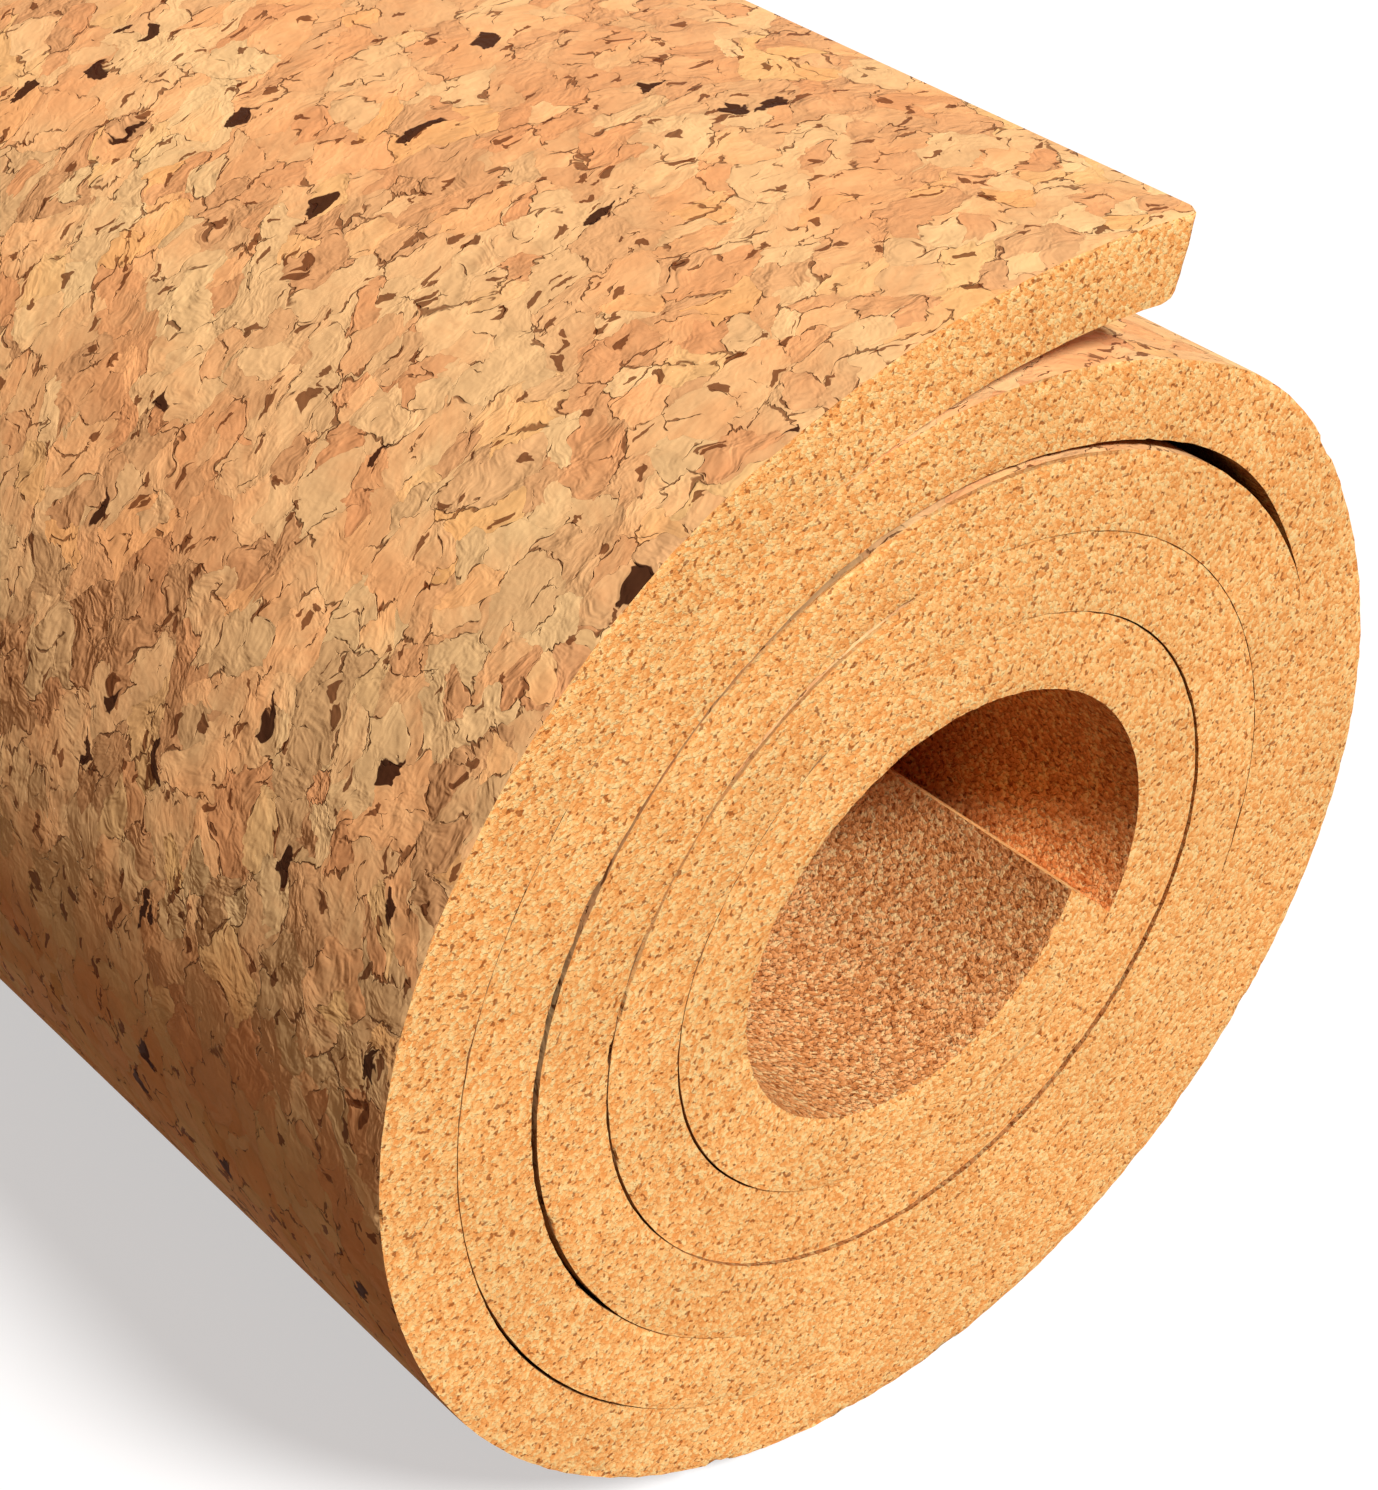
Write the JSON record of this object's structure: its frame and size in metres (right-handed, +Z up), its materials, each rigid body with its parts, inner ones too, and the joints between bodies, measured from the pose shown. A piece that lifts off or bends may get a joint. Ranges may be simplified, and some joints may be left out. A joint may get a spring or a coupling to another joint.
{
  "type": "cork pin board roll",
  "caption": "Thick bonded cork sheet with a coarse flaked face, wound face out into an open roll that lies on its side, its outer end lifting as a free flap.",
  "frame": {"origin": "middle of the bounding box's base, on the floor that the roll lies on", "axes": "+Y along the roll's axis, away from the pictured end; +Z up; +X to the right as that end is seen"},
  "size_m": [0.1976, 1.2192, 0.2003],
  "materials": {
    "cork": "matt bonded cork, fine granules on the cut edges and large flakes on the face"
  },
  "bodies": {
    "root": {"cork_sheet": "cork"}
  },
  "joints": []
}
